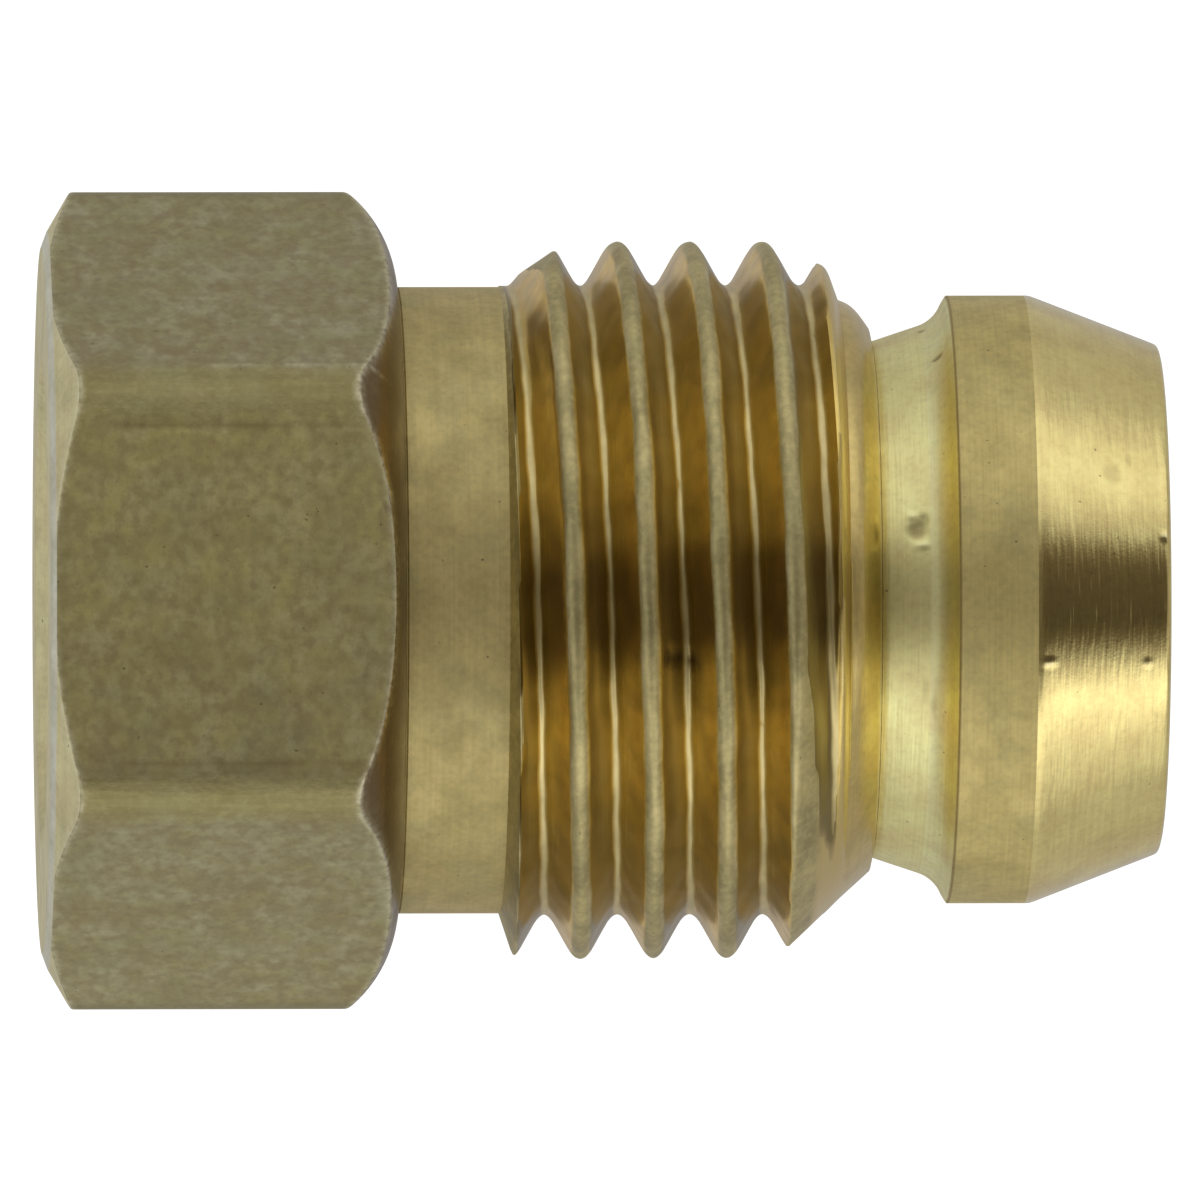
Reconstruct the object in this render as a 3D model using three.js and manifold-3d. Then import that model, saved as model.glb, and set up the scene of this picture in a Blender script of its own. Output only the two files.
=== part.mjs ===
// A brass compression fitting for 5/16 in tube: a hexagon-headed male nut and the tubular
// break-off sleeve in front of it. It is turned from one bar, and the thin neck between the
// two shears the first time the nut is tightened, so the nut and the sleeve are two bodies.
// Millimetres. The tube axis runs along +X from the hexagon to the sleeve, +Z is up, and the
// origin lies under mid-length, in the plane of the hexagon flat that the part rests on.
import * as THREE from "three";
import { mergeVertices } from "three/addons/utils/BufferGeometryUtils.js";
import Module from "manifold-3d";

const wasm = await Module();
wasm.setup();

// Driving dimensions. Stations along the axis are counted from the hexagon's end face.
const TUBE_RADIUS = 3.97;
const BORE_CLEARANCE = 0.06;
const ACROSS_FLATS = 12.62;
const CORNER_RADIUS = 1.15;
const FACE_RADIUS = 6.25;
const CHAMFER_ANGLE = Math.PI / 6; // between the end chamfer and the end face
const SHOULDER_STATION = 3.92; // centre and radius of the arc from the hexagon to the shank
const SHOULDER_HEIGHT = 5.34;
const SHOULDER_RADIUS = 2.25;
const SHANK_RADIUS = 5.45;
const MAJOR_RADIUS = 6.25;
const ROOT_RADIUS = 5.47;
const PITCH = 1.27;
const CREST_AT_SIDE = 10.0; // a crest of the thread passes the +Y side at this station
const CREST_HALF_WIDTH = 0.12;
const ROOT_HALF_WIDTH = 0.06;
const THREAD_START = 7.95;
const RUN_IN_LENGTH = 0.3;
const NOSE_START = 13.6;
const THREAD_END = 13.85;
const THREAD_END_RADIUS = 5.22;
const NOSE_ANGLE = (43.5 * Math.PI) / 180;
const NOSE_BEND = [14.18, 5.0]; // stations and radii at which the nose curves in to its end
const NOSE_LIP = [14.36, 4.75];
const NOSE_END = 14.43;
const NECK_RADIUS = 4.49;
const TAIL_RADIUS = 4.87;
const FILLET_RISE = 0.1; // of the hollow between the tail and the collar
const TAIL_END = 15.58;
const COLLAR_RADIUS = 5.29;
const COLLAR_START = 15.74;
const COLLAR_END = 17.19;
const TIP_RADIUS = 4.43;
const TOTAL_LENGTH = 19.44;
const BREAK_GAP = 0.02;
const BORE_CHAMFER = 0.25;
const TIP_CHAMFER = 0.12;
const EDGE_BREAK = 0.04;

const BORE_RADIUS = TUBE_RADIUS + BORE_CLEARANCE;
const SHANK_START = shoulderStation(SHANK_RADIUS);
const ROUND_SIDES = 48;
const CORNER_STEPS = 8;
const SHOULDER_STEPS = 8;
const STEPS_PER_TURN = 36;
const PAST = 1; // how far a cutting shape reaches beyond the piece it cuts
const SUNK = 0.35; // how deep the thread's ridge is sunk into the core

const brass = new THREE.MeshStandardMaterial({ color: 0xb5a46a, roughness: 0.42, metalness: 1 });
const sleeveBrass = new THREE.MeshStandardMaterial({ color: 0xc9b47a, roughness: 0.3, metalness: 1 });

// Booleans work on closed meshes whose shared vertices are merged.
function solidFrom(geometry) {
  const plain = geometry.clone();
  plain.deleteAttribute("normal");
  plain.deleteAttribute("uv");
  const merged = mergeVertices(plain, 1e-4);
  const solid = new wasm.Manifold(
    new wasm.Mesh({
      numProp: 3,
      vertProperties: new Float32Array(merged.attributes.position.array),
      triVerts: new Uint32Array(merged.index.array),
    }),
  );
  return solid;
}

function geometryFrom(solid) {
  const { numProp, numVert, vertProperties, triVerts } = solid.getMesh();
  const positions = new Float32Array(numVert * 3);
  for (let i = 0; i < numVert; i++) {
    positions.set(vertProperties.subarray(i * numProp, i * numProp + 3), i * 3);
  }
  const geometry = new THREE.BufferGeometry();
  geometry.setAttribute("position", new THREE.BufferAttribute(positions, 3));
  geometry.setIndex(new THREE.BufferAttribute(new Uint32Array(triVerts), 1));
  geometry.computeVertexNormals();
  return geometry;
}

// A body of revolution about +X, from a closed outline of [station, radius] points.
function turned(outline) {
  const points = outline.map(([x, r]) => new THREE.Vector2(r, x));
  if (points[0].x > 0) points.push(points[0].clone());
  return new THREE.LatheGeometry(points, ROUND_SIDES).rotateZ(-Math.PI / 2);
}

// Hexagon with rounded corners, two flats level, drawn across the axis and extruded along it.
function hexagonBar() {
  const apothem = ACROSS_FLATS / 2;
  const outline = new THREE.Shape();
  const centre = (apothem - CORNER_RADIUS) / Math.cos(Math.PI / 6);
  for (let corner = 0; corner < 6; corner++) {
    const angle = (corner * Math.PI) / 3;
    outline.absarc(
      centre * Math.cos(angle),
      centre * Math.sin(angle),
      CORNER_RADIUS,
      angle - Math.PI / 6,
      angle + Math.PI / 6,
      false,
    );
  }
  outline.closePath();
  const bar = new THREE.ExtrudeGeometry(outline, {
    depth: SHANK_START,
    bevelEnabled: false,
    curveSegments: CORNER_STEPS,
  });
  // The extrusion's +Z becomes the part's +X and its +X, a corner, becomes +Y.
  return bar.applyMatrix4(
    new THREE.Matrix4().makeBasis(
      new THREE.Vector3(0, 1, 0),
      new THREE.Vector3(0, 0, 1),
      new THREE.Vector3(1, 0, 0),
    ),
  );
}

// Station where the shoulder's arc has come down to a radius.
function shoulderStation(radius) {
  const rise = radius - SHOULDER_HEIGHT;
  return SHOULDER_STATION + Math.sqrt(SHOULDER_RADIUS ** 2 - rise ** 2);
}

// The turned envelope of the hexagon: a 30 degree chamfer beside the end face and, at the other
// end, a rounded shoulder that falls to the shank.
function hexagonEnvelope() {
  const beyond = ACROSS_FLATS / 2 + PAST;
  const outline = [
    [0, 0],
    [0, FACE_RADIUS],
    [(beyond - FACE_RADIUS) * Math.tan(CHAMFER_ANGLE), beyond],
  ];
  const last = Math.acos((SHANK_RADIUS - SHOULDER_HEIGHT) / SHOULDER_RADIUS);
  const first = Math.acos((beyond - SHOULDER_HEIGHT) / SHOULDER_RADIUS);
  for (let step = 0; step <= SHOULDER_STEPS; step++) {
    const angle = first + ((last - first) * step) / SHOULDER_STEPS;
    outline.push([
      SHOULDER_STATION + SHOULDER_RADIUS * Math.sin(angle),
      SHOULDER_HEIGHT + SHOULDER_RADIUS * Math.cos(angle),
    ]);
  }
  outline.push([SHANK_START, 0]);
  return turned(outline);
}

// Shank, thread core and tapered nose, started a little inside the hexagon.
function shankAndNose() {
  return turned([
    [SHANK_START - PAST, 0],
    [SHANK_START - PAST, SHANK_RADIUS],
    [THREAD_START, SHANK_RADIUS],
    [THREAD_START + EDGE_BREAK, ROOT_RADIUS],
    [NOSE_START, ROOT_RADIUS],
    [THREAD_END, THREAD_END_RADIUS],
    NOSE_BEND,
    NOSE_LIP,
    [NOSE_END, NECK_RADIUS],
    [NOSE_END, 0],
  ]);
}

// Right-hand helical ridge: a symmetrical 60 degree section swept round the core, started and
// ended half a turn outside the threaded length.
function threadRidge() {
  const halfBase = PITCH / 2 - ROOT_HALF_WIDTH;
  const bottom = ROOT_RADIUS - SUNK;
  const section = [
    [-halfBase, bottom],
    [halfBase, bottom],
    [halfBase, ROOT_RADIUS],
    [CREST_HALF_WIDTH, MAJOR_RADIUS],
    [-CREST_HALF_WIDTH, MAJOR_RADIUS],
    [-halfBase, ROOT_RADIUS],
  ];
  const firstTurn = (THREAD_START - CREST_AT_SIDE) / PITCH - 0.5;
  const lastTurn = (THREAD_END - CREST_AT_SIDE) / PITCH + 0.5;
  const steps = Math.round((lastTurn - firstTurn) * STEPS_PER_TURN);
  const positions = [];
  for (let i = 0; i <= steps; i++) {
    const turn = firstTurn + ((lastTurn - firstTurn) * i) / steps;
    const angle = turn * 2 * Math.PI;
    for (const [along, radius] of section) {
      positions.push(
        CREST_AT_SIDE + turn * PITCH + along,
        radius * Math.cos(angle),
        radius * Math.sin(angle),
      );
    }
  }
  const sides = section.length;
  const index = [];
  for (let i = 0; i < steps; i++) {
    for (let k = 0; k < sides; k++) {
      const a = i * sides + k;
      const b = i * sides + ((k + 1) % sides);
      index.push(a, b, b + sides, a, b + sides, a + sides);
    }
  }
  const last = steps * sides;
  for (let k = 1; k < sides - 1; k++) {
    index.push(0, k + 1, k);
    index.push(last, last + k, last + k + 1);
  }
  const geometry = new THREE.BufferGeometry();
  geometry.setAttribute("position", new THREE.Float32BufferAttribute(positions, 3));
  geometry.setIndex(index);
  return geometry;
}

// Room that the ridge may fill: it starts on a steep ramp beside the shank and is cut down by
// the cone of the nose.
function ridgeRoom() {
  const coneDrop = MAJOR_RADIUS + EDGE_BREAK - THREAD_END_RADIUS;
  const coneStart = THREAD_END - coneDrop / Math.tan(NOSE_ANGLE);
  return turned([
    [THREAD_START, 0],
    [THREAD_START, SHANK_RADIUS - EDGE_BREAK],
    [THREAD_START + RUN_IN_LENGTH, MAJOR_RADIUS + EDGE_BREAK],
    [coneStart, MAJOR_RADIUS + EDGE_BREAK],
    [THREAD_END, THREAD_END_RADIUS],
    [THREAD_END, 0],
  ]);
}

// The tube bore of the nut, with a small chamfer at the hexagon's mouth.
function nutBore() {
  return turned([
    [-PAST, 0],
    [-PAST, BORE_RADIUS + BORE_CHAMFER + PAST],
    [BORE_CHAMFER, BORE_RADIUS],
    [NOSE_END + PAST, BORE_RADIUS],
    [NOSE_END + PAST, 0],
  ]);
}

function nut() {
  const head = solidFrom(hexagonBar()).intersect(solidFrom(hexagonEnvelope()));
  const ridge = solidFrom(threadRidge()).intersect(solidFrom(ridgeRoom()));
  const solid = head
    .add(solidFrom(shankAndNose()))
    .add(ridge)
    .subtract(solidFrom(nutBore()));
  const mesh = new THREE.Mesh(geometryFrom(solid), brass);
  mesh.name = "nut";
  return mesh;
}

// Tapered tail, step, collar and front cone, with the tube bore through it.
function breakOffSleeve() {
  const start = NOSE_END + BREAK_GAP;
  const outline = [
    [start, BORE_RADIUS],
    [start, NECK_RADIUS],
    [TAIL_END, TAIL_RADIUS],
    [(TAIL_END + COLLAR_START) / 2, TAIL_RADIUS + FILLET_RISE],
    [COLLAR_START, COLLAR_RADIUS - EDGE_BREAK],
    [COLLAR_START + EDGE_BREAK, COLLAR_RADIUS],
    [COLLAR_END, COLLAR_RADIUS],
    [TOTAL_LENGTH - 2 * EDGE_BREAK, TIP_RADIUS + EDGE_BREAK],
    [TOTAL_LENGTH, TIP_RADIUS - EDGE_BREAK],
    [TOTAL_LENGTH, BORE_RADIUS + TIP_CHAMFER],
    [TOTAL_LENGTH - TIP_CHAMFER, BORE_RADIUS],
  ];
  const mesh = new THREE.Mesh(geometryFrom(solidFrom(turned(outline))), sleeveBrass);
  mesh.name = "break_off_sleeve";
  return mesh;
}

const fitting = new THREE.Group();
fitting.add(nut(), breakOffSleeve());
fitting.position.set(-TOTAL_LENGTH / 2, 0, ACROSS_FLATS / 2);

const part = new THREE.Group();
part.add(fitting);

export default part;
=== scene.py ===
"""A brass compression nut with its break-off sleeve, lying on a white table top.

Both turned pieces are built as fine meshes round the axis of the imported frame. Named sizes are in
millimetres: a station is a distance along the tube axis from the hexagon's end face, a radius is
measured from that axis, and an angle is counted round it from +Y towards +Z. MM turns the sizes
into the frame's metres."""

import math

import bpy
import numpy as np
from mathutils import Matrix, Vector


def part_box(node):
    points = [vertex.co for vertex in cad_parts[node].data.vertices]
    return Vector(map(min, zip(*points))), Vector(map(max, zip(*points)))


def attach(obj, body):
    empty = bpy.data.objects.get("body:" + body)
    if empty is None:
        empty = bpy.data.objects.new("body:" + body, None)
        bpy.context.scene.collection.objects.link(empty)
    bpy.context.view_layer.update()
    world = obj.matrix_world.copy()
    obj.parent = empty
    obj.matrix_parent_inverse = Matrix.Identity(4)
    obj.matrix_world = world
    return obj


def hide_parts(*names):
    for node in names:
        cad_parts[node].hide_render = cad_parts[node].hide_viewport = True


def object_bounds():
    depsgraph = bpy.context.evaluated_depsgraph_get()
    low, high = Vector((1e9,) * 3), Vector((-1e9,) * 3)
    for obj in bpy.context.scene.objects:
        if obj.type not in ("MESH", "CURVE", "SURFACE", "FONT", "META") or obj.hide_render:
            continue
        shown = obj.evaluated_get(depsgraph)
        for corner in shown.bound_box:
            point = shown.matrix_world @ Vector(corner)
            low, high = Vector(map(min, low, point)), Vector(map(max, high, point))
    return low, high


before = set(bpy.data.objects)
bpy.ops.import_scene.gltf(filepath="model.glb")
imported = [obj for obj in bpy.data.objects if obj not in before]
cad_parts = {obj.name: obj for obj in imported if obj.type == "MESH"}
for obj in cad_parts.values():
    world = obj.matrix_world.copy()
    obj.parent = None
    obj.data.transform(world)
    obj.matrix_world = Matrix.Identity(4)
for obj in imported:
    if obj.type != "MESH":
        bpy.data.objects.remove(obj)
cad_box = [list(corner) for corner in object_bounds()]

MM = 0.001
LOW, HIGH = (Vector(corner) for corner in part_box("nut"))
END_FACE_X = LOW.x
AXIS_Z = (LOW.z + HIGH.z) / 2
TURN = 2 * math.pi

# The nut's hexagon and shank.
APOTHEM = (HIGH.z - LOW.z) / 2 / MM
CORNER_ROUNDING = 1.15
FACE_RADIUS = 6.25
FACE_EDGE = 0.1
CHAMFER_SLOPE = math.tan(math.radians(60))
CHAMFER_ROUNDING = 0.05
SHOULDER_CENTRE = (3.92, 5.34)
SHOULDER_RADIUS = 2.25
SHANK_RADIUS = 5.45
SHANK_START = SHOULDER_CENTRE[0] + math.sqrt(
    SHOULDER_RADIUS**2 - (SHANK_RADIUS - SHOULDER_CENTRE[1]) ** 2
)
TOOL_GROOVE = 0.02  # half the width, and the depth, of the groove at the shank's start
BORE_RADIUS = 4.03
BORE_CHAMFER = 0.25

# The thread: a ridge of about sixty degrees, right-handed, whose crest passes +Y at CREST_AT_SIDE.
MAJOR_RADIUS = 6.25
ROOT_RADIUS = 5.47
PITCH = 1.27
CREST_AT_SIDE = 10.0
CREST_HALF_WIDTH = 0.10
CREST_UNEVENNESS = 0.024
CREST_ROUNDING = 0.2
ROOT_ROUNDING = 0.2
FLANK_SLOPE = math.tan(math.radians(60.8))
THREAD_START = 7.95
THREAD_END = 13.85
THREAD_END_RADIUS = 5.22
RUN_IN_SLOPES = (0.62, 3.0)
NOSE_CUT = 13.3
NOSE_SLOPE = math.tan(math.radians(43.5))
LAST_RIDGE_LIFT = 0.35
LAST_RIDGE_SLOPE = 2.8
CUT_ROUNDING = 0.12
END_TURN = 0.35  # over this length the rows of the mesh turn parallel to the thread's ends

# The nose, and the neck at which the sleeve breaks off.
NOSE_END = 14.43
NOSE_CORNER = (14.38, 4.74)
NOSE_BULGE = 0.1
NECK_RADIUS = 4.49
BREAK_GAP = 0.004
TEAR_HEIGHT = 0.03

# The sleeve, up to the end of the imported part.
TAIL_SLOPE = math.radians(18.4)
TAIL_END = 15.25
FILLET_RADIUS = 0.67
FILLET_SLOPE = math.radians(68)
COLLAR_START = 15.72
COLLAR_RADIUS = 5.29
COLLAR_END = 17.19
COLLAR_CORNER = 0.04
CORNER_STRIP = 0.03
EDGE_ROUNDING = 0.1
TIP_RADIUS = 4.43
TIP_CHAMFER = 0.12
TIP_EDGE = 0.03
TOTAL_LENGTH = (cad_box[1][0] - cad_box[0][0]) / MM

# Painted light and shade on the six flats: their tones at their two edges, counted from the +Y
# corner towards the top; 0 is the lit tone, 1 the shaded tone.
PAINTED_FLAT_LIGHT = ((1.0, 1.0), (0.0, 0.45), (0.95, 0.85), (0.6, 0.5), (0.4, 0.5), (0.7, 0.8))

# How far the painted tones blend on each side of a corner, half the angle of the duller band along
# a corner, and half the width of the painted highlight line along the ends of the flats.
SHADE_BLEND = math.radians(5)
CORNER_BAND = math.radians(3.5)
HIGHLIGHT_EDGE = 0.07

# Handling marks: station, angle in degrees, size along the axis, size round it, depth. A
# negative depth is a burr that stands up.
NUT_MARKS = [
    (5.86, 75, 0.05, 0.10, -0.05),
    (5.80, 77, 0.05, 0.08, 0.04),
    (11.10, 101.5, 0.12, 0.07, 0.05),
    (2.0, 65.0, 0.9, 0.06, 0.014),
    (3.5, 65.4, 0.7, 0.06, 0.016),
    (5.0, 65.0, 0.6, 0.06, 0.012),
    (4.5, 55.3, 0.6, 0.05, -0.02),
    (3.2, 55.6, 0.5, 0.05, -0.014),
    (5.5, 55.5, 0.3, 0.05, -0.02),
    (1.9, 114.7, 0.8, 0.06, 0.012),
    (3.6, 115.0, 0.9, 0.06, 0.016),
    (5.2, 114.8, 0.5, 0.06, 0.012),
    (3.4, 125.2, 1.4, 0.06, 0.008),
    (3.4, 250, 0.4, 0.10, 0.02),
    (7.1, 200, 0.12, 0.20, 0.02),
]
SLEEVE_MARKS = [
    (15.02, 76.5, 0.17, 0.16, 0.024),
    (15.13, 74.2, 0.10, 0.12, 0.016),
    (14.93, 73.0, 0.08, 0.06, -0.016),
    (15.12, 79.6, 0.12, 0.06, -0.012),
    (15.27, 13, 0.07, 0.07, 0.03),
    (15.47, 32, 0.09, 0.07, 0.03),
    (18.42, 64, 0.16, 0.20, 0.010),
    (18.72, 60, 0.06, 0.12, 0.010),
    (19.33, 77, 0.08, 0.08, -0.016),
    (17.28, 103, 0.13, 0.07, -0.014),
    (19.02, 105, 0.08, 0.07, -0.012),
    (15.16, 110, 0.05, 0.30, 0.008),
    (15.30, 113, 0.05, 0.25, 0.008),
    (16.6, 215, 0.15, 0.10, 0.02),
    (18.2, 300, 0.10, 0.20, 0.02),
]

# A mark this deep is as dirty as dirt gets, and one this high is rubbed bright all over.
FULL_MARK = 0.025

# Values that the meshes hand to their materials. Dirt gathers in the pressed marks, and the raised
# ones are rubbed bright. The dirt layer also holds painted shade in the shank's groove and the
# collar's inner corner, the rubbed layer painted highlights along the ends of the flats, and the
# layer of tones for the flats and the flanks painted light and shade.
LAYERS = ("crest", "corner", "shade", "cone", "rubbed", "dirt")

# Mesh density round the axis.
COLUMNS_PER_FLAT = 60
SLEEVE_COLUMNS = 600

# Rings of the mesh that crowd up to an edge of the hexagon and away from it, as distances from it.
RINGS_BEFORE_EDGE = np.array([[0.14, 0.08, 0.04, 0.0]])
RINGS_AFTER_EDGE = np.array([[0.04, 0.08, 0.14]])

# Rows of the thread's mesh between a crest and the next root, as shares of the pitch.
ROWS_TO_ROOT = np.array([0.03, 0.06, 0.085, 0.11, 0.14, 0.18, 0.24, 0.31, 0.37, 0.41, 0.44, 0.47])

# Face groups of the nut and the sleeve, in the order of their material slots.
BAR, END_FACE, FACE_RIM, SHOULDER, SHANK, THREAD, NOSE, WEB, BORE = range(9)
TAIL, FILLET, COLLAR, CONE, RIM, SLEEVE_WEB, SLEEVE_BORE = range(7)


def nut_angles():
    """Column angles round the axis, closer together at the hexagon's corners."""
    share = np.arange(COLUMNS_PER_FLAT) / COLUMNS_PER_FLAT
    crowding = 0.4
    crowded = share - crowding * np.sin(TURN * share) / TURN
    return np.concatenate([(flat + crowded) * np.pi / 3 for flat in range(6)])


def from_corner(angle):
    """Angle from the nearest corner of the hexagon; one corner lies at angle 0."""
    return np.abs((angle + np.pi / 6) % (np.pi / 3) - np.pi / 6)


def hexagon_radius(angle):
    """Outline of the hexagon with rounded corners."""
    away = from_corner(angle)
    flat = APOTHEM / np.cos(np.pi / 6 - away)
    centre = (APOTHEM - CORNER_ROUNDING) / math.cos(math.pi / 6)
    arc_end = math.atan2(
        CORNER_ROUNDING * math.sin(math.pi / 6),
        centre + CORNER_ROUNDING * math.cos(math.pi / 6),
    )
    inside = np.maximum(CORNER_ROUNDING**2 - (centre * np.sin(away)) ** 2, 0)
    arc = centre * np.cos(away) + np.sqrt(inside)
    return np.where(away < arc_end, arc, flat)


def soft_min(a, b, width):
    """The smaller of a and b, with the corner between them rounded over about width."""
    share = np.clip(0.5 + 0.5 * (b - a) / width, 0, 1)
    return b + (a - b) * share - width * share * (1 - share)


def end_chamfer(station):
    return FACE_RADIUS + CHAMFER_SLOPE * station


def shoulder(station):
    along = np.maximum(station - SHOULDER_CENTRE[0], 0)
    return SHOULDER_CENTRE[1] + np.sqrt(np.maximum(SHOULDER_RADIUS**2 - along**2, 0))


def shoulder_station(radius):
    """Station where the shoulder's arc has come down to a radius."""
    rise = radius - SHOULDER_CENTRE[1]
    return SHOULDER_CENTRE[0] + np.sqrt(SHOULDER_RADIUS**2 - rise**2)


def rounded(outline, steps=5):
    """A polyline of (station, radius, rounding) with each corner replaced by an arc-like curve."""
    points = []
    for i, (station, radius, rounding) in enumerate(outline):
        here = np.array([station, radius], float)
        if rounding == 0 or i in (0, len(outline) - 1):
            points.append(here)
            continue
        before = np.array(outline[i - 1][:2], float) - here
        after = np.array(outline[i + 1][:2], float) - here
        a = here + before / np.linalg.norm(before) * min(rounding, np.linalg.norm(before) / 2)
        b = here + after / np.linalg.norm(after) * min(rounding, np.linalg.norm(after) / 2)
        for t in np.linspace(0, 1, steps):
            points.append((1 - t) ** 2 * a + 2 * t * (1 - t) * here + t**2 * b)
    return np.array(points)


def divided(points, longest):
    """The same polyline with long stretches cut into equal steps no longer than longest."""
    fine = [points[0]]
    for a, b in zip(points[:-1], points[1:]):
        count = max(1, math.ceil(np.linalg.norm(b - a) / longest))
        for k in range(1, count + 1):
            fine.append(a + (b - a) * k / count)
    return np.array(fine)


def same_round(points, columns):
    """The same outline at every column: arrays of stations and radii, one row a column."""
    stations = np.tile(points[:, 0], (columns, 1))
    radii = np.tile(points[:, 1], (columns, 1))
    return stations, radii


def marked(stations, radii, angles, marks):
    """The radii with every handling mark pressed in or raised, and how deep each point is."""
    depths = np.zeros_like(radii)
    for station, degrees, along, around, depth in marks:
        turn = (angles[:, None] - math.radians(degrees) + np.pi) % TURN - np.pi
        distance = ((stations - station) / along) ** 2 + (turn * radii / around) ** 2
        depths += depth * np.exp(-(distance**2))
    return radii - depths, depths


class Skin:
    """Collects strips of quads round the axis and turns them into one closed mesh."""

    def __init__(self, angles):
        self.angles = angles
        self.points = []
        self.faces = []
        self.groups = []
        self.layers = {name: [] for name in LAYERS}
        self.count = 0

    def strip(self, stations, radii, group, turn_shift=0, marks=(), **layers):
        """Adds a grid with one row a column. After a full turn a row meets the first one,
        turn_shift places further on. Layers are values for the materials, one a point."""
        columns, rings = stations.shape
        radii, depths = marked(stations, radii, self.angles, marks)
        layers["dirt"] = np.maximum(np.clip(depths / FULL_MARK, 0, 1), layers.get("dirt", 0.0))
        layers["rubbed"] = np.maximum(np.clip(-depths / FULL_MARK, 0, 1), layers.get("rubbed", 0.0))
        angle = self.angles[:, None]
        grid = np.stack([stations, radii * np.cos(angle), radii * np.sin(angle)], axis=-1)
        self.points.append(grid.reshape(-1, 3))
        for name in LAYERS:
            values = np.broadcast_to(layers.get(name, 0.0), (columns, rings))
            self.layers[name].append(values.reshape(-1))
        ring = np.arange(rings - 1)
        groups = np.full(rings - 1, group) if np.isscalar(group) else np.asarray(group)
        for i in range(columns):
            shift = turn_shift if i == columns - 1 else 0
            here = self.count + i * rings
            there = self.count + ((i + 1) % columns) * rings
            near = np.minimum(ring + shift, rings - 1)
            far = np.minimum(ring + 1 + shift, rings - 1)
            quad = np.stack([here + ring, here + ring + 1, there + far, there + near], axis=1)
            self.faces.append(quad)
            self.groups.append(groups)
        self.count += columns * rings

    def mesh(self, name):
        """The closed mesh in the frame's metres, with a material index on each face."""
        points = np.concatenate(self.points) * MM
        points += (END_FACE_X, 0, AXIS_Z)
        kept, number = weld(points)
        faces = number[np.concatenate(self.faces)]
        faces, groups = drop_flat_faces(faces, np.concatenate(self.groups))
        mesh = bpy.data.meshes.new(name)
        mesh.from_pydata(points[kept], [], faces)
        mesh.polygons.foreach_set("material_index", groups.astype(np.int32))
        for title, values in self.layers.items():
            layer = mesh.attributes.new(title, "FLOAT", "POINT")
            layer.data.foreach_set("value", np.concatenate(values)[kept].astype(np.float32))
        mesh.update()
        return mesh


def weld(points, grid=1e-8):
    """Indexes of the distinct points, and for each point the number of its distinct one."""
    keys = np.round(points / grid).astype(np.int64)
    _, kept, numbers = np.unique(keys, axis=0, return_index=True, return_inverse=True)
    return kept, numbers.reshape(-1)


def drop_flat_faces(faces, groups):
    """Faces without repeated corners, as lists of three or four, and their groups."""
    proper = []
    chosen = []
    for face, group in zip(faces.tolist(), groups.tolist()):
        corners = [c for k, c in enumerate(face) if c != face[k - 1]]
        if len(set(corners)) == len(corners) and len(corners) >= 3:
            proper.append(corners)
            chosen.append(group)
    return proper, np.array(chosen)


def hexagon_rings(left, right):
    """Stations of the hexagon's rings at every column, and the group of each ring. The flats lie
    between the edges at left and right; the end chamfer is before them, the shoulder after."""
    first_ring = RINGS_BEFORE_EDGE[0, 0]
    chamfer = np.linspace(0, 1, 6)[None, 1:] * np.maximum(left - first_ring, 0.0)
    flat_start = left + RINGS_AFTER_EDGE
    across = right - first_ring - flat_start[:, -1:]
    flat = flat_start[:, -1:] + np.linspace(0, 1, 24)[None, 1:-1] * across
    fall_start = right + RINGS_AFTER_EDGE * 0.5
    drop = np.sin(np.linspace(0, 1, 14)[None, 1:] * np.pi / 2)
    fall = fall_start[:, -1:] + drop * (SHANK_START - fall_start[:, -1:])
    parts = [
        (END_FACE, chamfer),
        (END_FACE, left - RINGS_BEFORE_EDGE[:, 1:]),
        (BAR, flat_start),
        (BAR, flat),
        (BAR, right - RINGS_BEFORE_EDGE),
        (SHOULDER, fall_start),
        (SHOULDER, fall),
    ]
    stations = np.concatenate([part for _, part in parts], axis=1)
    counts = [part.shape[1] for _, part in parts]
    groups = np.repeat([group for group, _ in parts], counts)
    return stations, groups[1:]


def hexagon_rows(angles):
    """The hexagon from its end face to the shank, column by column: stations, radii, the group of
    each ring and the painted highlight along the ends of the flats at each point."""
    bar = hexagon_radius(angles)[:, None]
    left = (bar - FACE_RADIUS) / CHAMFER_SLOPE
    right = shoulder_station(bar)
    stations, group = hexagon_rings(left, right)
    stations = np.maximum.accumulate(np.maximum(stations, FACE_EDGE), axis=1)
    radii = soft_min(bar, end_chamfer(stations), CHAMFER_ROUNDING)
    radii = soft_min(radii, shoulder(stations), CHAMFER_ROUNDING)
    radii[:, -1] = SHANK_RADIUS
    # A painted highlight along the two ends of the flats.
    highlight_left = np.exp(-(((stations - left) / HIGHLIGHT_EDGE) ** 2))
    highlight_right = np.exp(-(((stations - right) / HIGHLIGHT_EDGE) ** 2))
    return stations, radii, group, highlight_left + highlight_right


def painted_flat_light(angles):
    """Painted light and shade round the hexagon, 0 lit and 1 shaded, blended across the corners
    between the flats.
    """
    tones = np.array(PAINTED_FLAT_LIGHT)
    place = angles / (np.pi / 3)
    flat = np.floor(place).astype(int)
    share = place - flat
    tone = tones[flat, 0] * (1 - share) + tones[flat, 1] * share
    neighbour = np.where(share < 0.5, tones[flat - 1, 1], tones[(flat + 1) % 6, 0])
    own = 0.5 + 0.5 * np.clip(from_corner(angles) / SHADE_BLEND, 0, 1)
    return tone * own + neighbour * (1 - own)


def ripple(turns, seed):
    """Unevenness between -1 and 1 along the crest, which runs on from turn to turn: a few waves,
    each with its number to a turn and its size."""
    waves = ((5.3, 0.3), (11.7, 0.3), (23.1, 0.25), (41.9, 0.15))
    return sum(size * np.sin(TURN * rate * turns + seed * rate) for rate, size in waves)


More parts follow.
